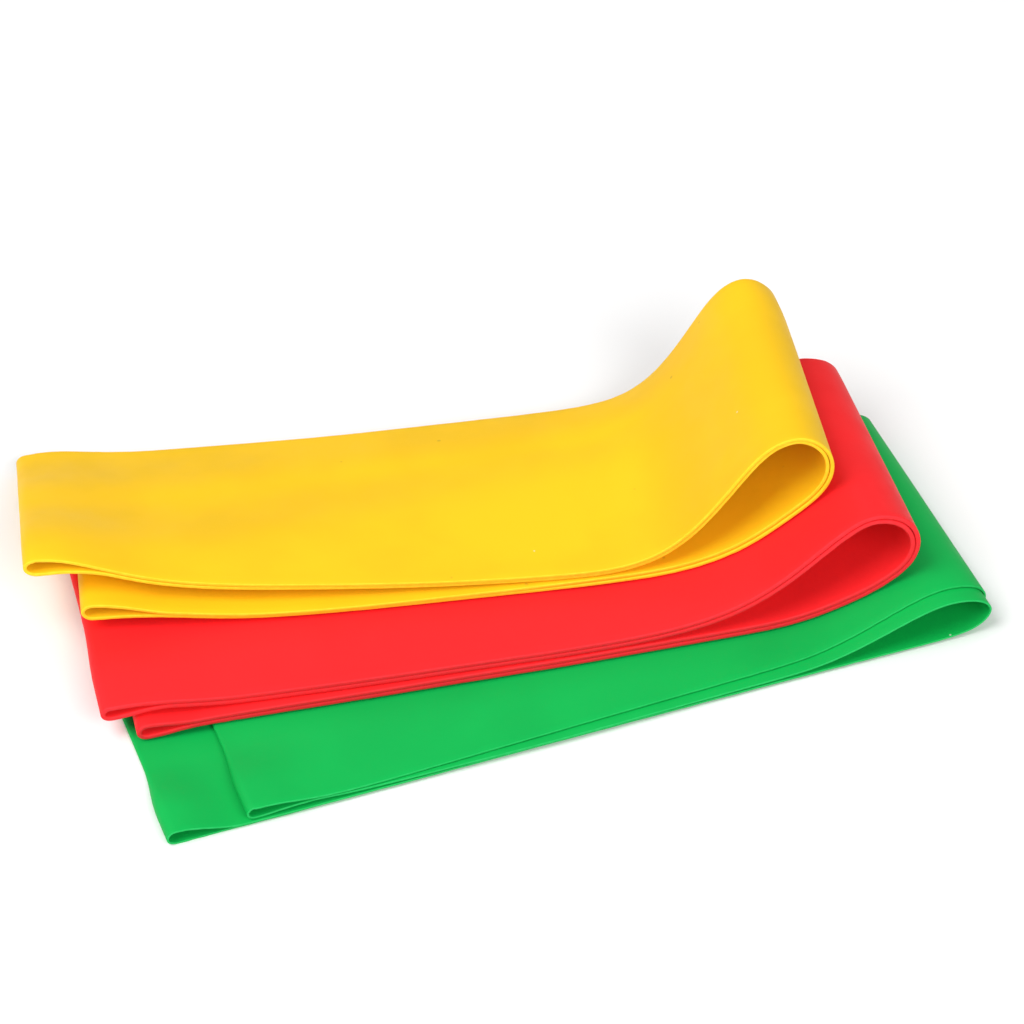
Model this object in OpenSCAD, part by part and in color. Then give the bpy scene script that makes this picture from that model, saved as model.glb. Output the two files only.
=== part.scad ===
// Set of three seamless rubber loop bands, each pressed flat, folded in half and fanned in a stack.
// Millimetres, +Z up, X along the middle band, origin at the centre of the face the bottom band rests on.

/* [Loops] */

// Developed length of every loop, measured once round
loop_len = 600; // [480:10:720]
// Width of every band
band_w = 50; // [40:1:60]
// Rubber thickness of the bottom (green) band
green_t = 0.4; // [0.3:0.05:0.6]
// Rubber thickness of the middle (red) band
red_t = 0.9; // [0.7:0.05:1.2]
// Rubber thickness of the top (yellow) band
yellow_t = 0.7; // [0.5:0.05:0.9]

/* [Folds] */

// Height of the green fold above the table
green_fold = 10; // [8:0.5:13]
// Height of the red fold above the table at its front edge
red_fold = 25.9; // [21:0.1:32]
// Height of the yellow fold above the table at its front edge
yellow_fold = 36.8; // [30:0.1:45]
// How much lower the red fold lies at its back edge
red_fold_drop = 4.5; // [0:0.1:9]
// How much lower the yellow fold lies at its back edge
yellow_fold_drop = 3.8; // [0:0.1:9]

/* [Fan] */

// Turn of the green band from the middle band, anticlockwise from above
green_turn = 6.7; // [4:0.1:9]
// Turn of the yellow band from the middle band, clockwise from above
yellow_turn = 5; // [3:0.1:7]
// How far the red fold stands back from the green fold, along X
red_setback = 9.6; // [7:0.1:13]
// How far the red fold is shifted sideways from the green fold
red_shift = 6.7; // [4:0.1:9]
// How far the yellow fold stands back from the green fold, along X
yellow_setback = 20.8; // [17:0.1:26]
// How far the yellow fold is shifted sideways from the green fold
yellow_shift = 17.2; // [14:0.1:20]
// Free end of the lower half past the upper half, green
green_stagger = 14; // [8:0.5:20]
// Free end of the upper half past the lower half, red
red_stagger = 6; // [3:0.5:12]
// Free end of the upper half past the lower half, yellow
yellow_stagger = 9.3; // [6:0.1:14]

/* [Gaps] */

// Air between the two layers of one flattened half
layer_gap = 0.12; // [0.1:0.01:0.3]
// Air between the upper and the lower half of one band
half_gap = 0.25; // [0.2:0.01:0.5]
// Air between one band and the band under it
band_gap = 0.43; // [0.3:0.01:0.6]

/* [Hidden] */

// Every list below is in stacking order: green, red, yellow.
thick = [green_t, red_t, yellow_t];
turn = [green_turn, 0, -yellow_turn];
stack = [for (t = thick) 4 * t + 2 * layer_gap + half_gap];

// Fold crown heights of the middle of the rubber, at the front and the back edge.
crown_front = [green_fold, red_fold, yellow_fold];
crown_back = crown_front - [0, red_fold_drop, yellow_fold_drop];

// Share of the fold height that the fold and the end beads take up out of the loop.
take_up = [1.2, 0.69, 0.8];
stagger = [-green_stagger, red_stagger, yellow_stagger];
run_sum = [for (i = [0:2]) loop_len / 2 - take_up[i] * crown_front[i]];
upper_run = (run_sum + stagger) / 2;
lower_run = (run_sum - stagger) / 2;

// The green fold end stands half the resting length from the origin.
fold_tuck = 5;
green_reach = (lower_run[0] + fold_tuck) / 2;
green_end = green_reach * [cos(green_turn), sin(green_turn)];
fold_end = [
    green_end,
    green_end + [-red_setback, red_shift],
    green_end + [-yellow_setback, yellow_shift]
];

// The upper half rises to the crown between these two distances from the fold end; a larger
// lean holds the rise back, so the curve starts slowly.
rise_from = [40, 75, 48];
rise_to = [7, 7, 8];
lean_front = [1.3, 2.9, 2.2];
lean_back = [1.3, 2.9, 3];

// An edge that hangs past the band under it comes down to the table within this distance,
// more slowly near the fold, where the curl stiffens the rubber.
sag_flat = [20, 20, 25];
sag_fold = [32, 32, 30];

// Sideways drift of the free ends, upper and lower half, bow of the lower half between its ends,
// and sideways slip of the outer layer at the fold.
upper_drift = [0, 2.4, 6];
lower_drift = [0, 0, 3];
lower_bow = [0, 0, -1.6];
// Width the tilted upper free end loses, seen from above.
upper_narrow = [0, 0, 3];
layer_slip = [3.5, 0, 0];
drift_from = 20;
drift_full = 140;
slip_fade = 130;

// Rounded bead at each free end: opening and length, upper end then lower end.
upper_bead = [1.9, 1.5, 2.4];
upper_bead_len = [13, 11, 14];
lower_bead = [2.4, 1.7, 2.3];
lower_bead_len = [12, 9, 14];
bead_nose = 0.6;

// Across the width, the band above presses the beads flat between these distances, and how far.
press_from = [6, 8, 0];
press_to = [19, 24, 50];
upper_press = [1, 1, 0];
lower_press = [1, 1, 1];
pressed_bead = 0.2;

// Lift of the upper half near its free end: distance from the end, lift at the front, at the back.
upper_lift = [
    [[0, 1.75, 0.05], [4.5, 1.7, 0.05], [10.5, 0.6, 0], [18, 0, 0]],
    [[0, 1.5, 0.1], [4, 1.8, 0.1], [10.5, 1.4, 0.1], [18.5, 0.3, 0], [27, 0, 0]],
    [
        [0, 10.9, 1.3], [4.5, 10.9, 1.9], [11, 8.6, 1], [19, 5.6, 0],
        [29, 3.7, 0], [42, 2.6, 0], [58, 1.5, 0], [74, 0.4, 0]
    ]
];
// The same for the lower half, listed towards its free end.
lower_lift = [
    [[9, 0, 0], [3.5, 0, 0], [0, 0, 0]],
    [[16, 0, 0], [10.5, 0, 0], [6.5, -0.2, 0], [3, -0.9, 0], [0, -1.1, 0]],
    [[28, 0.3, 0], [19.5, 1.3, 0], [11.5, 2.3, 0.1], [5.5, 2.5, 0.1], [0, 2.2, 0.1]]
];

// Guide points round the fold: rising side, tip (distance from the fold end, share of the crown
// height, never below the surface the band rests on), and the run back underneath.
rise_u = [
    [-38, -32, -26, -20.5, -16, -11.5, -7],
    [-58, -50, -43, -36, -30, -24.5, -19.5, -15, -11, -7.5],
    [-46, -39, -32.5, -27, -22.5, -18.5, -15, -11.5, -8]
];
tip = [
    [[-1, 0.86], [1.8, 0.5], [-1, 0.1]],
    [[-2, 0.91], [1.3, 0.61], [0, 0.25]],
    [[-4.4, 1.02], [-0.2, 0.84], [1.2, 0.55], [-0.8, 0.25]]
];
under_u = [
    [-7, -15, -27],
    [-6.5, -11.5, -17, -23, -30],
    [-6, -10.5, -15, -20, -26, -33]
];

// Mesh density: guide spacing on the straight runs, curve steps, nose steps, cuts over the width.
run_step = 17;
curve_steps = 2;
nose_steps = 5;
width_cuts = 10;

// ---- helpers ----

function mix(a, b, w) = a + (b - a) * w;
function unit(x) = min(1, max(0, x));
function ease(x) = let (c = unit(x)) c * c * (3 - 2 * c);
function along(i, u, v) = let (s = v - band_w / 2)
    fold_end[i] + [u * cos(turn[i]) - s * sin(turn[i]), u * sin(turn[i]) + s * cos(turn[i])];
function local(i, p) = let (d = p - fold_end[i])
    [d.x * cos(turn[i]) + d.y * sin(turn[i]), d.y * cos(turn[i]) - d.x * sin(turn[i]) + band_w / 2];

// Share of the full drift at a distance u from the fold end.
function out_to(u) = pow(max(0, (-u - drift_from) / (drift_full - drift_from)), 2);
// Sideways shift of a point: upper tells the half, layer is 0 outside and 1 inside.
function drift(i, u, upper, layer) =
    let (reach = out_to(u))
    reach * (upper ? upper_drift[i] : lower_drift[i] + 4 * (1 - reach) * lower_bow[i])
    + layer_slip[i] * (1 - layer) * unit(1 + u / slip_fade);

// ---- height of the rubber ----

function rise(i, u, v) =
    let (x = unit((u + rise_from[i]) / (rise_from[i] - rise_to[i])))
    ease(pow(x, mix(lean_front[i], lean_back[i], v / band_w)));
function crown(i, v) = mix(crown_front[i], crown_back[i], v / band_w);
// Top surface of band i.
function crest(i, u, v) = mix(rest(i, u, v) + stack[i], crown(i, v) + thick[i] / 2, rise(i, u, v));
// Height on which band i lies: on the band below, and sagging past that band's back edge.
function rest(i, u, v) = i == 0 ? 0 :
    let (
        q = local(i - 1, along(i, u, v)),
        across = q[1] - drift(i - 1, q[0], true, 0),
        top = crest(i - 1, q[0], min(band_w, max(0, across))),
        over = max(0, across - band_w) / mix(sag_flat[i], sag_fold[i], rise(i, u, v))
    )
    (top + band_gap) * (1 - ease(over));
function slant(a, b) = sqrt(1 + pow(b - a, 2));
// Middle of the rubber in the lowest and in the highest layer.
function low_mid(i, u, v) = i == 0 ? thick[i] / 2 :
    rest(i, u, v) - band_gap + (band_gap + thick[i] / 2) * slant(rest(i, u - 0.5, v), rest(i, u + 0.5, v));
function high_mid(i, u, v) = rest(i, u, v) + stack[i] - thick[i] / 2;
function rise_mid(i, u, v) =
    crest(i, u, v) - thick[i] / 2 * slant(crest(i, u - 0.5, v), crest(i, u + 0.5, v));

// ---- guide points of the outer layer, from the upper free end round the fold to the lower ----

function between(a, b) = let (n = max(1, round(abs(b - a) / run_step)))
    [for (k = [1:1:n - 1]) a + (b - a) * k / n];
function pressed(i, v) = ease((v - press_from[i]) / (press_to[i] - press_from[i]));
function guide(i, v) =
    let (
        w = pressed(i, v),
        up = upper_lift[i],
        lo = lower_lift[i],
        up_end = -upper_run[i] + up[len(up) - 1][0],
        lo_end = -lower_run[i] + lo[0][0],
        under = under_u[i],
        base = low_mid(i, under[0], v)
    )
    concat(
        [for (p = up) let (u = p[0] - upper_run[i]) [u, high_mid(i, u, v) + mix(p[1], p[2], w)]],
        [for (u = between(up_end, rise_u[i][0])) [u, high_mid(i, u, v)]],
        [for (u = rise_u[i]) [u, rise_mid(i, u, v)]],
        [for (p = tip[i]) [p[0], max(mix(base, crown(i, v), p[1]), low_mid(i, p[0], v))]],
        [for (u = under) [u, low_mid(i, u, v)]],
        [for (u = between(under[len(under) - 1], lo_end)) [u, low_mid(i, u, v)]],
        [for (p = lo) let (u = p[0] - lower_run[i]) [u, low_mid(i, u, v) + mix(p[1], p[2], w)]]
    );

// ---- curves ----

function blend4(a, b, c, d, t) =
    (pow(1 - t, 3) * a + (3 * pow(t, 3) - 6 * t * t + 4) * b
    + (-3 * pow(t, 3) + 3 * t * t + 3 * t + 1) * c + pow(t, 3) * d) / 6;
function curve(g) =
    let (
        n = len(g),
        p = concat([2 * g[0] - g[1]], g, [2 * g[n - 1] - g[n - 2]])
    )
    [
        for (k = [0:n - 2], s = [0:curve_steps - (k == n - 2 ? 0 : 1)])
            blend4(p[k], p[k + 1], p[k + 2], p[k + 3], s / curve_steps)
    ];
function right_of(d) = [d.y, -d.x] / norm(d);
function side(c, k) = right_of(c[min(k + 1, len(c) - 1)] - c[max(k - 1, 0)]);
function ring_side(c, k) = let (n = len(c)) right_of(c[(k + 1) % n] - c[(k + n - 1) % n]);
function lengths(c, k = 1, sum = 0) =
    k > len(c) ? [] : concat([sum], k == len(c) ? [] : lengths(c, k + 1, sum + norm(c[k] - c[k - 1])));
function nose(from, to, dir, reach) =
    [
        for (k = [1:nose_steps])
            let (a = 180 * k / (nose_steps + 1))
            (from + to) / 2 + (from - to) / 2 * cos(a) + dir * reach * sin(a)
    ];

// Closed middle line of the rubber at distance v over the width: [point, upper, layer].
function loop_line(i, v) =
    let (
        outer = curve(guide(i, v)),
        n = len(outer),
        s = lengths(outer),
        gap_up = mix(upper_bead[i], pressed_bead, pressed(i, v) * upper_press[i]),
        gap_lo = mix(lower_bead[i], pressed_bead, pressed(i, v) * lower_press[i]),
        inner = [
            for (k = [0:n - 1])
                let (
                    open_up = (gap_up - layer_gap) * ease(1 - s[k] / upper_bead_len[i]),
                    open_lo = (gap_lo - layer_gap) * ease(1 - (s[n - 1] - s[k]) / lower_bead_len[i])
                )
                outer[k] + side(outer, k) * (thick[i] + layer_gap + open_up + open_lo)
        ],
        far = max([for (p = outer) p.x]),
        turn_at = [for (k = [0:n - 1]) if (outer[k].x == far) k][0],
        end_lo = (outer[n - 1] - outer[n - 2]) / norm(outer[n - 1] - outer[n - 2]),
        end_up = (outer[0] - outer[1]) / norm(outer[0] - outer[1]),
        nose_lo = nose(outer[n - 1], inner[n - 1], end_lo, bead_nose * (thick[i] + gap_lo)),
        nose_up = nose(inner[0], outer[0], end_up, bead_nose * (thick[i] + gap_up))
    )
    concat(
        [for (k = [0:n - 1]) [outer[k], k < turn_at, 0]],
        [
            for (k = [0:nose_steps - 1])
                [nose_lo[k], false, (k + 1) / (nose_steps + 1)]
        ],
        [for (k = [n - 1:-1:0]) [inner[k], k < turn_at, 1]],
        [
            for (k = [0:nose_steps - 1])
                [nose_up[k], true, 1 - (k + 1) / (nose_steps + 1)]
        ]
    );

// One cut over the width: the outer outline, then the inner outline.
function cut(i, v) =
    let (
        line = loop_line(i, v),
        mid = [for (p = line) p[0]],
        n = len(mid)
    )
    [
        for (way = [-1, 1], k = [0:n - 1])
            let (
                q = mid[k] + ring_side(mid, k) * way * thick[i] / 2,
                lost = line[k][1] ? upper_narrow[i] * out_to(mid[k].x) * v / band_w : 0,
                across = v - lost + drift(i, mid[k].x, line[k][1], line[k][2]),
                xy = along(i, q.x, across)
            )
            [xy.x, xy.y, q.y]
    ];

// Two triangles over a quadrilateral, listed clockwise from outside.
function tiles(a, b, c, d) = [[a, b, c], [a, c, d]];
function joined(lists) = [for (l = lists) each l];

module band(i) {
    cuts = [for (j = [0:width_cuts]) cut(i, band_w * j / width_cuts)];
    m = len(cuts[0]);
    n = m / 2;
    last = width_cuts * m;
    skin = [
        for (j = [0:width_cuts - 1], k = [0:n - 1])
            let (a = j * m + k, b = j * m + (k + 1) % n)
            each concat(tiles(a, a + m, b + m, b), tiles(a + n, b + n, b + n + m, a + n + m))
    ];
    edges = [
        for (k = [0:n - 1])
            let (e = (k + 1) % n)
            each concat(tiles(k, e, e + n, k + n), tiles(last + k, last + k + n, last + e + n, last + e))
    ];
    polyhedron(points = joined(cuts), faces = concat(skin, edges), convexity = 12);
}

module green_band() {
    color([0.05, 0.66, 0.28]) band(0);
}

module red_band() {
    color([0.93, 0.16, 0.18]) band(1);
}

module yellow_band() {
    color([0.97, 0.8, 0.15]) band(2);
}

green_band();
red_band();
yellow_band();
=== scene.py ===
"""Three seamless rubber loop bands, each pressed flat, folded in half and fanned in a stack.

Each band lies where its CAD solid lies. Its shape follows the same rules as the part's source, in
finer steps, with rounded cut edges, slightly uneven rubber and satin latex materials.
Lengths are in millimetres until a mesh is made, and in metres from there on.
"""

import math
from dataclasses import dataclass

import bpy
import numpy as np
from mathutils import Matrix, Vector


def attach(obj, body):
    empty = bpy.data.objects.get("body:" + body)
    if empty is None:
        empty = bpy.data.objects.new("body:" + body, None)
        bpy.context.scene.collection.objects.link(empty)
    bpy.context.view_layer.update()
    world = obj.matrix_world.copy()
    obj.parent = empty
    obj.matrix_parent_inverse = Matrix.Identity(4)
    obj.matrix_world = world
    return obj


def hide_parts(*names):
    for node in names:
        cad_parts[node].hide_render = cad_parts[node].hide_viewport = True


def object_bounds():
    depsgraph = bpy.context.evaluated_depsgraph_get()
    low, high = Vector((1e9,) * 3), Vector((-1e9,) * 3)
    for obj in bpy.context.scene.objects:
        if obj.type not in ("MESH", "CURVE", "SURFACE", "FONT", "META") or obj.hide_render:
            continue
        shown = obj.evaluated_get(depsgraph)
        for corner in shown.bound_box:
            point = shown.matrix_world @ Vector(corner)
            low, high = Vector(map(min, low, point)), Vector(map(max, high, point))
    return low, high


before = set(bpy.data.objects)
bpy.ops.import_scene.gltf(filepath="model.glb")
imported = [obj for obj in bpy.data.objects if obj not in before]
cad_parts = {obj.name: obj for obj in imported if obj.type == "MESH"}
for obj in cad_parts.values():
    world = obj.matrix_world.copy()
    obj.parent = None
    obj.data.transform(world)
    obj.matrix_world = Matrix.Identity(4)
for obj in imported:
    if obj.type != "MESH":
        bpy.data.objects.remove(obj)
cad_box = [list(corner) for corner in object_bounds()]

MM = 0.001

# ---- sizes shared by the bands, in millimetres ----

LOOP_LEN = 600.0
BAND_W = 50.0
LAYER_GAP = 0.12
HALF_GAP = 0.25
BAND_GAP = 0.43
FOLD_TUCK = 5.0
DRIFT_FROM, DRIFT_FULL = 20.0, 140.0
SLIP_FADE = 130.0
PRESSED_BEAD = 0.2
BEAD_NOSE = 0.6
RUN_STEP = 17.0

# Mesh density: curve steps between guide points, nose steps, and stations over the width.
CURVE_STEPS = 7
NOSE_STEPS = 14
WIDTH_STEPS = 36
EDGE_STEPS = 3
BEVEL_SHARE = 0.3  # of the thickness, at a cut edge

# Unevenness of real rubber: waves over the whole stack, from none on the table to full height.
WAVE_SEED = 5
WAVE_HEIGHT = 0.06
WAVE_LENGTH = 38
WAVES_FULL_FROM = 4  # height above the table
WAVE_COUNT = 6
WAVE_SPREAD = (0.7, 1.6)  # shortest and longest wave, as shares of the wanted length
WAVE_PEAK = 3.5  # what the crossing waves about add up to at most

# How far a cut edge strays along the loop, how deep that reaches, and the nicks of the knife.
EDGE_STRAY = 0.22
EDGE_STRAY_LENGTH = 90
EDGE_STRAY_WIDTH = 12.0
EDGE_NICK = 0.03
EDGE_NICK_LENGTH = 2.2
EDGE_NICK_SKEW = 7

# The flat map is in decimetres. The strip of faces that closes it is this narrow on the map.
MAP_UNIT = 100
MAP_SEAM = 0.01


@dataclass
class Band:
    """One loop. Places along it are counted back from its fold, across it from its front edge."""

    node: str
    body: str
    slot: str
    thick: float
    turn: float  # degrees, anticlockwise from above
    setback: tuple  # fold end from the green fold end, along X and Y
    crown: tuple  # height of the middle of the rubber at the fold, front and back edge
    take_up: float  # share of the fold height that fold and beads take out of the loop
    stagger: float  # free end of the upper half past the lower half
    rise: tuple  # where the upper half starts to rise, and where it reaches the crown
    lean: tuple  # how far the rise is held back, front and back edge
    sag: tuple  # width of the sagging strip, flat part and fold
    drift: tuple  # sideways drift of the free ends, upper and lower half
    bow: float  # sideways bow of the lower half between its ends
    narrow: float  # width the tilted upper free end loses, seen from above
    slip: float  # sideways shift of the outer layer at the fold
    upper_bead: tuple  # opening and length of the bead at the upper free end
    lower_bead: tuple  # the same at the lower free end
    press: tuple  # across the width, where the beads are pressed flat
    press_depth: tuple  # how far the upper and the lower bead are pressed, 0 to 1
    upper_lift: tuple  # distance from the free end, lift at the front edge, at the back edge
    lower_lift: tuple  # the same at the lower free end
    rise_u: tuple  # guide distances up the rise
    tip: tuple  # round the fold: guide distance, share of the crown height
    under_u: tuple  # guide distances under the fold
    below: "Band" = None

    def __post_init__(self):
        run_sum = LOOP_LEN / 2 - self.take_up * self.crown[0]
        self.upper_run = (run_sum + self.stagger) / 2
        self.lower_run = (run_sum - self.stagger) / 2
        self.stack = 4 * self.thick + 2 * LAYER_GAP + HALF_GAP
        self.cos = math.cos(math.radians(self.turn))
        self.sin = math.sin(math.radians(self.turn))
        root = self
        while root.below:
            root = root.below
        reach = (root.lower_run + FOLD_TUCK) / 2
        self.end = (reach * root.cos - self.setback[0], reach * root.sin + self.setback[1])

    def along(self, u, v):
        """World X and Y of a place on the band."""
        side = v - BAND_W / 2
        return (
            self.end[0] + u * self.cos - side * self.sin,
            self.end[1] + u * self.sin + side * self.cos,
        )

    def local(self, x, y):
        """Place on the band of a world X and Y."""
        dx, dy = x - self.end[0], y - self.end[1]
        return dx * self.cos + dy * self.sin, dy * self.cos - dx * self.sin + BAND_W / 2

    def reach(self, u):
        """Share of the drift: it grows from near the fold to 1 near the free end."""
        return np.maximum(0, (-u - DRIFT_FROM) / (DRIFT_FULL - DRIFT_FROM)) ** 2

    def drifted(self, u, upper, layer):
        """Sideways shift: upper is 1 on the upper half, layer is 0 outside and 1 inside."""
        reach = self.reach(u)
        slip = self.slip * (1 - layer) * np.clip(1 + u / SLIP_FADE, 0, 1)
        bow = 4 * reach * (1 - reach) * self.bow * (1 - upper)
        return reach * mix(self.drift[1], self.drift[0], upper) + bow + slip

    def rising(self, u, v):
        """Share of the rise: 0 on the flat part, 1 at the crown."""
        start, full = self.rise
        x = np.clip((u + start) / (start - full), 0, 1)
        return ease(x ** mix(self.lean[0], self.lean[1], v / BAND_W))

    def crown_mid(self, v):
        """Middle of the rubber at the top of the fold."""
        return mix(self.crown[0], self.crown[1], v / BAND_W)

    def crest(self, u, v):
        """Height of the band's top surface."""
        flat = self.rest(u, v) + self.stack
        return mix(flat, self.crown_mid(v) + self.thick / 2, self.rising(u, v))

    def rest(self, u, v):
        """Height on which the band lies: on the band below, sagging past its back edge."""
        if self.below is None:
            return np.zeros(np.broadcast(u, v).shape)
        below_u, below_v = self.below.local(*self.along(u, v))
        across = below_v - self.below.drifted(below_u, 1, 0)
        top = self.below.crest(below_u, np.clip(across, 0, BAND_W))
        reach = mix(self.sag[0], self.sag[1], self.rising(u, v))
        return (top + BAND_GAP) * (1 - ease(np.maximum(0, across - BAND_W) / reach))

    def low_mid(self, u, v):
        """Middle of the rubber in the lowest layer."""
        if self.below is None:
            return np.full(np.broadcast(u, v).shape, self.thick / 2)
        slope = slope_length(self.rest, u, v)
        return self.rest(u, v) - BAND_GAP + (BAND_GAP + self.thick / 2) * slope

    def high_mid(self, u, v):
        """Middle of the rubber in the highest layer, on the flat part."""
        return self.rest(u, v) + self.stack - self.thick / 2

    def rise_mid(self, u, v):
        """Middle of the rubber in the highest layer, up the rise."""
        slope = slope_length(self.crest, u, v)
        return self.crest(u, v) - self.thick / 2 * slope

    def pressed(self, v):
        """How flat the beads are pressed, from 0 at the front edge to 1 at the back edge."""
        return ease((v - self.press[0]) / (self.press[1] - self.press[0]))


def mix(a, b, w):
    return a + (b - a) * w


def ease(x):
    """Smooth step from 0 to 1."""
    c = np.clip(x, 0, 1)
    return c * c * (3 - 2 * c)


def slope_length(height, u, v):
    """Length of a sloping surface over one millimetre along the band."""
    return np.sqrt(1 + (height(u + 0.5, v) - height(u - 0.5, v)) ** 2)


def make_bands():
    green = Band(
        node="green_band", body="green", slot="green_rubber", thick=0.4, turn=6.7,
        setback=(0, 0), crown=(10, 10), take_up=1.2, stagger=-14, narrow=0,
        rise=(40, 7), lean=(1.3, 1.3), sag=(20, 32), drift=(0, 0), bow=0, slip=3.5,
        upper_bead=(1.9, 13), lower_bead=(2.4, 12), press=(6, 19), press_depth=(1, 1),
        upper_lift=((0, 1.75, 0.05), (4.5, 1.7, 0.05), (10.5, 0.6, 0), (18, 0, 0)),
        lower_lift=((9, 0, 0), (3.5, 0, 0), (0, 0, 0)),
        rise_u=(-38, -32, -26, -20.5, -16, -11.5, -7),
        tip=((-1, 0.86), (1.8, 0.5), (-1, 0.1)),
        under_u=(-7, -15, -27),
    )
    red = Band(
        node="red_band", body="red", slot="red_rubber", thick=0.9, turn=0,
        setback=(9.6, 6.7), crown=(25.9, 21.4), take_up=0.69, stagger=6, narrow=0,
        rise=(75, 7), lean=(2.9, 2.9), sag=(20, 32), drift=(2.4, 0), bow=0, slip=0,
        upper_bead=(1.5, 11), lower_bead=(1.7, 9), press=(8, 24), press_depth=(1, 1),
        upper_lift=(
            (0, 1.5, 0.1), (4, 1.8, 0.1), (10.5, 1.4, 0.1), (18.5, 0.3, 0), (27, 0, 0),
        ),
        lower_lift=((16, 0, 0), (10.5, 0, 0), (6.5, -0.2, 0), (3, -0.9, 0), (0, -1.1, 0)),
        rise_u=(-58, -50, -43, -36, -30, -24.5, -19.5, -15, -11, -7.5),
        tip=((-2, 0.91), (1.3, 0.61), (0, 0.25)),
        under_u=(-6.5, -11.5, -17, -23, -30),
        below=green,
    )
    yellow = Band(
        node="yellow_band", body="yellow", slot="yellow_rubber", thick=0.7, turn=-5,
        setback=(20.8, 17.2), crown=(36.8, 33), take_up=0.8, stagger=9.3, narrow=3,
        rise=(48, 8), lean=(2.2, 3), sag=(25, 30), drift=(6, 3), bow=-1.6, slip=0,
        upper_bead=(2.4, 14), lower_bead=(2.3, 14), press=(0, 50), press_depth=(0, 1),
        upper_lift=(
            (0, 10.9, 1.3), (4.5, 10.9, 1.9), (11, 8.6, 1), (19, 5.6, 0), (29, 3.7, 0),
            (42, 2.6, 0), (58, 1.5, 0), (74, 0.4, 0),
        ),
        lower_lift=((28, 0.3, 0), (19.5, 1.3, 0), (11.5, 2.3, 0.1), (5.5, 2.5, 0.1), (0, 2.2, 0.1)),
        rise_u=(-46, -39, -32.5, -27, -22.5, -18.5, -15, -11.5, -8),
        tip=((-4.4, 1.02), (-0.2, 0.84), (1.2, 0.55), (-0.8, 0.25)),
        under_u=(-6, -10.5, -15, -20, -26, -33),
        below=red,
    )
    return [green, red, yellow]


# ---- centre line of a loop ----


def between(a, b):
    """Evenly spaced guide distances on a straight run, without its ends."""
    n = max(1, round(abs(b - a) / RUN_STEP))
    return [a + (b - a) * k / n for k in range(1, n)]


def guide(band, v):
    """Guide points of the outer layer, from the upper free end round the fold to the lower one.

    Returns the distances along the band, and one row of heights for each place in v.
    """
    w = band.pressed(v)
    base = band.low_mid(band.under_u[0], v)
    upper, lower = -band.upper_run, -band.lower_run
    us, zs = [], []

    def add(u, z):
        us.append(u)
        zs.append(z)

    for d, front, back in band.upper_lift:
        add(upper + d, band.high_mid(upper + d, v) + mix(front, back, w))
    for u in between(upper + band.upper_lift[-1][0], band.rise_u[0]):
        add(u, band.high_mid(u, v))
    for u in band.rise_u:
        add(u, band.rise_mid(u, v))
    for u, share in band.tip:
        add(u, np.maximum(mix(base, band.crown_mid(v), share), band.low_mid(u, v)))
    for u in band.under_u:
        add(u, band.low_mid(u, v))
    for u in between(band.under_u[-1], lower + band.lower_lift[0][0]):
        add(u, band.low_mid(u, v))
    for d, front, back in band.lower_lift:
        add(lower + d, band.low_mid(lower + d, v) + mix(front, back, w))
    return np.array(us), np.array(zs).T


def spline_weights(n, steps):
    """Uniform cubic B-spline weights of n guide points, one row for each point of the curve."""
    rows = []
    for span in range(n - 1):
        for step in range(steps + (span == n - 2)):
            t = step / steps
            row = np.zeros(n + 2)
            row[span : span + 4] = (
                (1 - t) ** 3,
                3 * t**3 - 6 * t * t + 4,
                -3 * t**3 + 3 * t * t + 3 * t + 1,
                t**3,
            )
            rows.append(row / 6)
    weights = np.array(rows)
    # The curve's ends continue straight, past the first and the last guide point.
    weights[:, 1] += 2 * weights[:, 0]
    weights[:, 2] -= weights[:, 0]
    weights[:, -2] += 2 * weights[:, -1]
    weights[:, -3] -= weights[:, -1]
    return weights[:, 1:-1]


def right_of(d):
    """Unit vectors to the right of directions in the (along, up) plane."""
    n = np.stack([d[..., 1], -d[..., 0]], -1)
    return n / np.linalg.norm(n, axis=-1, keepdims=True)


def nose(start, stop, direction, reach):
    """Half ellipse from one layer's end to the other's, round a free end."""
    a = math.pi * np.arange(1, NOSE_STEPS + 1) / (NOSE_STEPS + 1)
    across = ((start - stop) / 2)[:, None] * np.cos(a)[:, None]
    out = (direction * reach[:, None])[:, None] * np.sin(a)[:, None]
    return ((start + stop) / 2)[:, None] + across + out


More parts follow.
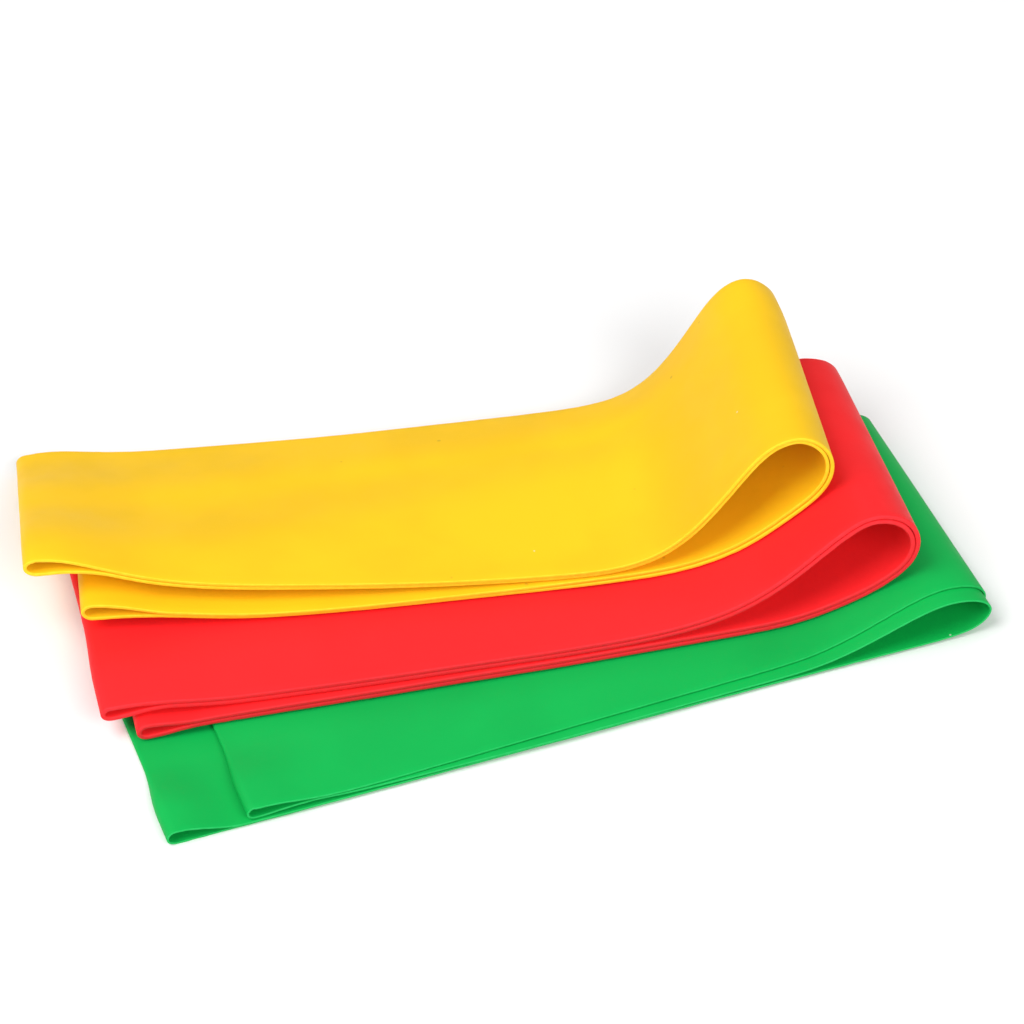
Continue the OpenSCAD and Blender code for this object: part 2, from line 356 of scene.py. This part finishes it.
def loop_lines(band, v):
    """Closed middle lines of the rubber at the places v over the width.

    Returns points and normals (place, ring, 2), and for the ring which half and layer it is in.
    """
    us, zs = guide(band, v)
    weights = spline_weights(len(us), CURVE_STEPS)
    outer = np.stack([np.broadcast_to(weights @ us, (len(v), len(weights))), zs @ weights.T], -1)
    steps = np.linalg.norm(np.diff(outer, axis=1), axis=2)
    s = np.concatenate([np.zeros((len(v), 1)), np.cumsum(steps, 1)], 1)
    press = band.pressed(v)[:, None]
    gap_up = mix(band.upper_bead[0], PRESSED_BEAD, press * band.press_depth[0])
    gap_lo = mix(band.lower_bead[0], PRESSED_BEAD, press * band.press_depth[1])
    open_up = (gap_up - LAYER_GAP) * ease(1 - s / band.upper_bead[1])
    open_lo = (gap_lo - LAYER_GAP) * ease(1 - (s[:, -1:] - s) / band.lower_bead[1])
    tangent = np.gradient(outer, axis=1)
    depth = band.thick + LAYER_GAP + open_up + open_lo
    inner = outer + right_of(tangent) * depth[..., None]

    def end_direction(last, previous):
        d = last - previous
        return d / np.linalg.norm(d, axis=-1, keepdims=True)

    lower_nose = nose(
        outer[:, -1], inner[:, -1], end_direction(outer[:, -1], outer[:, -2]),
        BEAD_NOSE * (band.thick + gap_lo[:, 0]),
    )
    upper_nose = nose(
        inner[:, 0], outer[:, 0], end_direction(outer[:, 0], outer[:, 1]),
        BEAD_NOSE * (band.thick + gap_up[:, 0]),
    )
    ring = np.concatenate([outer, lower_nose, inner[:, ::-1], upper_nose], 1)
    normals = right_of(np.roll(ring, -1, 1) - np.roll(ring, 1, 1))
    n = outer.shape[1]
    on_top = (np.arange(n) < np.argmax(outer[0, :, 0])).astype(float)
    passing = np.arange(1, NOSE_STEPS + 1) / (NOSE_STEPS + 1)
    upper = np.concatenate([on_top, np.zeros(NOSE_STEPS), on_top[::-1], np.ones(NOSE_STEPS)])
    layer = np.concatenate([np.zeros(n), passing, np.ones(n), 1 - passing])
    return ring, normals, upper, layer


# ---- the rubber sheet round that line ----


def sheet_profile(thick):
    """Closed outline of the sheet across its width: places v, offsets w, and a cut-edge mark.

    The faces run between rounded cut edges. A negative offset is the outside of the loop.
    """
    bevel = BEVEL_SHARE * thick
    half = thick / 2
    faces = bevel + (BAND_W - 2 * bevel) * np.linspace(0, 1, WIDTH_STEPS + 1)
    turns = np.linspace(0, math.pi / 2, EDGE_STEPS + 1)[1:]
    round_v = bevel * (1 - np.sin(turns))
    round_w = half - bevel + bevel * np.cos(turns)
    edge_v = np.concatenate([round_v, [0.0], round_v[::-1]])
    edge_w = np.concatenate([round_w, [0.0], -round_w[::-1]])
    v = np.concatenate([faces, BAND_W - edge_v, faces[::-1], edge_v])
    w = np.concatenate([np.full(len(faces), -half), -edge_w, np.full(len(faces), half), edge_w])
    cut = np.concatenate([np.zeros(len(faces)), np.ones(len(edge_v))] * 2)
    return v, w, cut


def waves(x, y, seed, length):
    """Smooth, repeatable unevenness between about -1 and 1, from a few crossing waves."""
    rng = np.random.default_rng(seed)
    total = np.zeros(np.broadcast(x, y).shape)
    for _ in range(WAVE_COUNT):
        heading, phase = rng.uniform(0, 2 * math.pi, 2)
        k = 2 * math.pi / (length * rng.uniform(*WAVE_SPREAD))
        total += np.sin(k * (x * math.cos(heading) + y * math.sin(heading)) + phase)
    return total / WAVE_PEAK


def edge_stray(v, s, seed):
    """How far each layer's two edges stray sideways, fading out towards the middle."""
    front = ease(1 - v / EDGE_STRAY_WIDTH)[:, None]
    back = ease(1 - (BAND_W - v) / EDGE_STRAY_WIDTH)[:, None]
    front_waves = waves(s, 0, seed, EDGE_STRAY_LENGTH)
    back_waves = waves(s, 0, seed + 1, EDGE_STRAY_LENGTH)
    return EDGE_STRAY * (front * front_waves + back * back_waves)


def band_mesh(band, seed):
    v, w, cut = sheet_profile(band.thick)
    ring, normals, upper, layer = loop_lines(band, v)
    points = ring + normals * w[:, None, None]
    s = np.cumsum(np.linalg.norm(ring - np.roll(ring, 1, 1), axis=2), 1)
    u, z = points[..., 0], points[..., 1]
    stray = edge_stray(v, s, seed)
    knife = waves(s, EDGE_NICK_SKEW * w[:, None], seed + 2, EDGE_NICK_LENGTH)
    nick = EDGE_NICK * cut[:, None] * knife
    width = v[:, None] * (1 - band.narrow / BAND_W * band.reach(ring[..., 0]) * upper)
    across = width + band.drifted(ring[..., 0], upper, layer) + stray + nick
    x, y = band.along(u, across)
    # One field of waves for the whole stack keeps every gap open.
    z = z + WAVE_HEIGHT * waves(x, y, WAVE_SEED, WAVE_LENGTH) * ease(z / WAVES_FULL_FROM)
    coords = np.stack([x, y, z], -1) * MM
    m, n = coords.shape[:2]
    j, k = np.meshgrid(np.arange(m), np.arange(n), indexing="ij")
    j2, k2 = (j + 1) % m, (k + 1) % n
    faces = np.stack([j * n + k, j * n + k2, j2 * n + k2, j2 * n + k], -1).reshape(-1, 4)

    mesh = bpy.data.meshes.new(band.node + "_latex")
    mesh.from_pydata(coords.reshape(-1, 3).tolist(), [], faces.tolist())
    mesh.shade_smooth()
    mark = mesh.attributes.new("cut_edge", "FLOAT", "POINT")
    mark.data.foreach_set("value", np.repeat(cut, n).astype(np.float32))
    lay_flat(mesh, s, w, v)
    mesh.validate()
    return mesh


def lay_flat(mesh, s, w, v):
    """UV map of the sheet laid flat: along the loop, and round the width."""
    profile = np.cumsum(np.hypot(np.diff(v, prepend=v[-1]), np.diff(w, prepend=w[-1])))
    m, n = s.shape
    along = np.concatenate([s, s[:, :1] + s[:, -1:]], 1)
    uv = mesh.uv_layers.new(name="laid_flat")
    corners = np.empty(len(mesh.loops), dtype=np.int32)
    mesh.loops.foreach_get("vertex_index", corners)
    corner = corners.reshape(-1, 4)
    j, k = corner // n, corner % n
    k = np.where((k == 0) & (k.max(1, keepdims=True) == n - 1), n, k)
    past_seam = (j == 0) & (j.max(1, keepdims=True) == m - 1)
    across = np.where(past_seam, profile[-1] + MAP_SEAM, profile[j])
    flat = np.stack([along[j, k], across], -1) / MAP_UNIT
    uv.data.foreach_set("uv", flat.reshape(-1).astype(np.float32))


# ---- materials ----

# What the three bands share. Distances are in metres.
CLOUD_DARK, CLOUD_LIGHT = 0.96, 1.03
PORE_TINT = 0.55
DUST_TINT = 0.5
DUST_COLOR = (0.9, 0.9, 0.86)
EDGE_ROUGHER = 0.15
LATEX_SPECULAR = 0.15
SKIN_STRENGTH = 0.25
SKIN_DEPTH = 0.00006

# Per band: base colour, the cut edges' colour (painted light, standing in for the front light
# catching them), pore colour and dust share.
LATEX = {
    "green_band": dict(
        color=(0.003, 0.43, 0.075), lit_edge_color=(0.02, 0.5, 0.12),
        speck_color=(0.01, 0.25, 0.06), dust=0.05,
    ),
    "red_band": dict(
        color=(0.92, 0.02, 0.024), lit_edge_color=(0.8, 0.03, 0.04),
        speck_color=(0.55, 0.01, 0.02), dust=0.03,
    ),
    "yellow_band": dict(
        color=(0.93, 0.55, 0.01), lit_edge_color=(0.99, 0.66, 0.03),
        speck_color=(0.55, 0.32, 0.02), dust=0.01,
    ),
}


class Nodes:
    """Short ways to add and link shader nodes."""

    def __init__(self, tree):
        self.tree = tree

    def add(self, kind, **settings):
        node = self.tree.nodes.new(kind)
        for name, value in settings.items():
            setattr(node, name, value)
        return node

    def link(self, source, target):
        self.tree.links.new(source, target)

    def noise(self, coords, scale, detail=2.0, roughness=0.5):
        node = self.add("ShaderNodeTexNoise")
        node.inputs["Scale"].default_value = scale
        node.inputs["Detail"].default_value = detail
        node.inputs["Roughness"].default_value = roughness
        self.link(coords, node.inputs["Vector"])
        return node.outputs["Fac"]

    def ramp(self, value, low, high, to_low=0.0, to_high=1.0):
        node = self.add("ShaderNodeMapRange", interpolation_type="SMOOTHSTEP")
        limits = {"From Min": low, "From Max": high, "To Min": to_low, "To Max": to_high}
        for name, number in limits.items():
            node.inputs[name].default_value = number
        self.link(value, node.inputs["Value"])
        return node.outputs["Result"]

    def math(self, operation, a, b):
        node = self.add("ShaderNodeMath", operation=operation)
        for socket, value in zip(node.inputs, (a, b)):
            if isinstance(value, (int, float)):
                socket.default_value = value
            else:
                self.link(value, socket)
        return node.outputs[0]

    def blend(self, factor, a, b):
        node = self.add("ShaderNodeMix", data_type="RGBA")
        self.link(factor, node.inputs["Factor"])
        for name, value in (("A", a), ("B", b)):
            socket = next(i for i in node.inputs if i.name == name and i.type == "RGBA")
            if isinstance(value, tuple):
                socket.default_value = (*value, 1)
            else:
                self.link(value, socket)
        return next(o for o in node.outputs if o.type == "RGBA")

    def specks(self, coords, scale, size, share):
        """Round specks of the given size, in a share of the cells of a random pattern."""
        node = self.add("ShaderNodeTexVoronoi", feature="F1")
        node.inputs["Scale"].default_value = scale
        self.link(coords, node.inputs["Vector"])
        dot = self.ramp(node.outputs["Distance"], size * 0.5, size, 1, 0)
        pick = self.add("ShaderNodeSeparateColor")
        self.link(node.outputs["Color"], pick.inputs["Color"])
        return self.math("MULTIPLY", dot, self.math("LESS_THAN", pick.outputs[0], share))


def shade(color, factor):
    return tuple(min(1.0, c * factor) for c in color)


def latex(name, color, lit_edge_color, speck_color, dust):
    """Satin moulded latex: slightly cloudy colour, pores, a little dust, and cut edges marked with
    a mottled painted light: lighter on yellow and green, a darker red on red.
    """
    material = bpy.data.materials.new(name)
    material.use_nodes = True
    n = Nodes(material.node_tree)
    shader = material.node_tree.nodes["Principled BSDF"]
    place = n.add("ShaderNodeTexCoord").outputs["Object"]
    cloud = n.ramp(n.noise(place, scale=45, detail=3), low=0.35, high=0.65)
    tone = n.blend(cloud, shade(color, CLOUD_DARK), shade(color, CLOUD_LIGHT))
    pores = n.specks(place, scale=160, size=0.075, share=0.22)
    tone = n.blend(n.math("MULTIPLY", pores, PORE_TINT), tone, speck_color)
    grains = n.specks(place, scale=260, size=0.07, share=dust)
    tone = n.blend(n.math("MULTIPLY", grains, DUST_TINT), tone, DUST_COLOR)
    # Painted light on the cut edges: the edge colour, blended in through a fine mottle, stands in
    # for how the light catches them.
    edge = n.add("ShaderNodeAttribute", attribute_name="cut_edge").outputs["Fac"]
    fine = n.noise(place, scale=900, detail=2)
    painted_edge_light = n.ramp(fine, low=0.3, high=0.75, to_low=0.45, to_high=0.9)
    tone = n.blend(n.math("MULTIPLY", edge, painted_edge_light), tone, lit_edge_color)
    n.link(tone, shader.inputs["Base Color"])
    uneven = n.noise(place, scale=120, detail=4, roughness=0.6)
    matt = n.ramp(uneven, low=0.3, high=0.7, to_low=0.5, to_high=0.6)
    edge_matt = n.math("MULTIPLY", edge, EDGE_ROUGHER)
    n.link(n.math("ADD", matt, edge_matt), shader.inputs["Roughness"])
    shader.inputs["Specular IOR Level"].default_value = LATEX_SPECULAR
    skin = n.add("ShaderNodeBump")
    skin.inputs["Strength"].default_value = SKIN_STRENGTH
    skin.inputs["Distance"].default_value = SKIN_DEPTH
    grain = n.noise(place, scale=1500, detail=2)
    n.link(n.math("ADD", grain, pores), skin.inputs["Height"])
    n.link(skin.outputs["Normal"], shader.inputs["Normal"])
    return material


def make_band(band, seed):
    piece = bpy.data.objects.new(band.node + "_latex", band_mesh(band, seed))
    bpy.context.scene.collection.objects.link(piece)
    piece.data.materials.append(latex(band.slot, **LATEX[band.node]))
    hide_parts(band.node)
    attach(piece, band.body)


# ---- studio, in metres ----

FLOOR_REACH = 4.0
FLOOR_COLOR = (0.9, 0.9, 0.9, 1)
FLOOR_ROUGHNESS = 0.7
FLOOR_SPECULAR = 0.2

# Name, place from the middle of the stack, size, watts.
LIGHTS = (
    ("key", (-0.9, -0.3, 1.4), (1, 1), 21),
    ("fill", (0.3, -1.2, 0.9), (1, 0.6), 13),
    ("back", (-0.2, 1.2, 1), (1.2, 0.6), 1),
)
SKY_COLOR = (1, 1, 1, 1)
SKY_STRENGTH = 0.4

CAMERA_TARGET = (0.0052, 0.0352, 0)
CAMERA_DISTANCE = 0.74
CAMERA_HEADING = 13.6  # degrees, clockwise from +Y
CAMERA_PITCH = 42  # degrees, downwards
CAMERA_LENS = 140.6  # millimetres
CAMERA_SENSOR = 36  # millimetres
CAMERA_FAR = 20


def make_floor():
    mesh = bpy.data.meshes.new("floor")
    turn_round = ((-1, -1), (1, -1), (1, 1), (-1, 1))
    corners = [(x * FLOOR_REACH, y * FLOOR_REACH, 0) for x, y in turn_round]
    mesh.from_pydata(corners, [], [(0, 1, 2, 3)])
    floor = bpy.data.objects.new("floor", mesh)
    bpy.context.scene.collection.objects.link(floor)
    material = bpy.data.materials.new("floor")
    material.use_nodes = True
    shader = material.node_tree.nodes["Principled BSDF"]
    shader.inputs["Base Color"].default_value = FLOOR_COLOR
    shader.inputs["Roughness"].default_value = FLOOR_ROUGHNESS
    shader.inputs["Specular IOR Level"].default_value = FLOOR_SPECULAR
    mesh.materials.append(material)


def make_light(name, position, target, size, power):
    light = bpy.data.lights.new(name, "AREA")
    light.shape = "RECTANGLE"
    light.size, light.size_y = size
    light.energy = power
    lamp = bpy.data.objects.new(name, light)
    lamp.location = position
    lamp.rotation_euler = (Vector(target) - Vector(position)).to_track_quat("-Z", "Y").to_euler()
    bpy.context.scene.collection.objects.link(lamp)


def make_studio():
    make_floor()
    low, high = (Vector(corner) for corner in cad_box)
    centre = (low + high) / 2
    for name, place, size, power in LIGHTS:
        make_light(name, centre + Vector(place), centre, size, power)
    world = bpy.data.worlds.new("studio")
    world.use_nodes = True
    sky = world.node_tree.nodes["Background"]
    sky.inputs["Color"].default_value = SKY_COLOR
    sky.inputs["Strength"].default_value = SKY_STRENGTH
    bpy.context.scene.world = world
    bpy.context.scene.view_settings.view_transform = "Standard"


def make_camera():
    """Long lens from the front left, looking down on the stack."""
    heading, pitch = math.radians(CAMERA_HEADING), math.radians(CAMERA_PITCH)
    level = math.cos(pitch)
    look = Vector((math.sin(heading) * level, math.cos(heading) * level, -math.sin(pitch)))
    data = bpy.data.cameras.new("camera")
    data.sensor_width = CAMERA_SENSOR
    data.lens = CAMERA_LENS
    data.clip_end = CAMERA_FAR
    camera = bpy.data.objects.new("camera", data)
    camera.location = Vector(CAMERA_TARGET) - look * CAMERA_DISTANCE
    camera.rotation_euler = look.to_track_quat("-Z", "Y").to_euler()
    bpy.context.scene.collection.objects.link(camera)
    bpy.context.scene.camera = camera


make_camera()
for index, one_band in enumerate(make_bands()):
    make_band(one_band, seed=10 * index + 1)
make_studio()
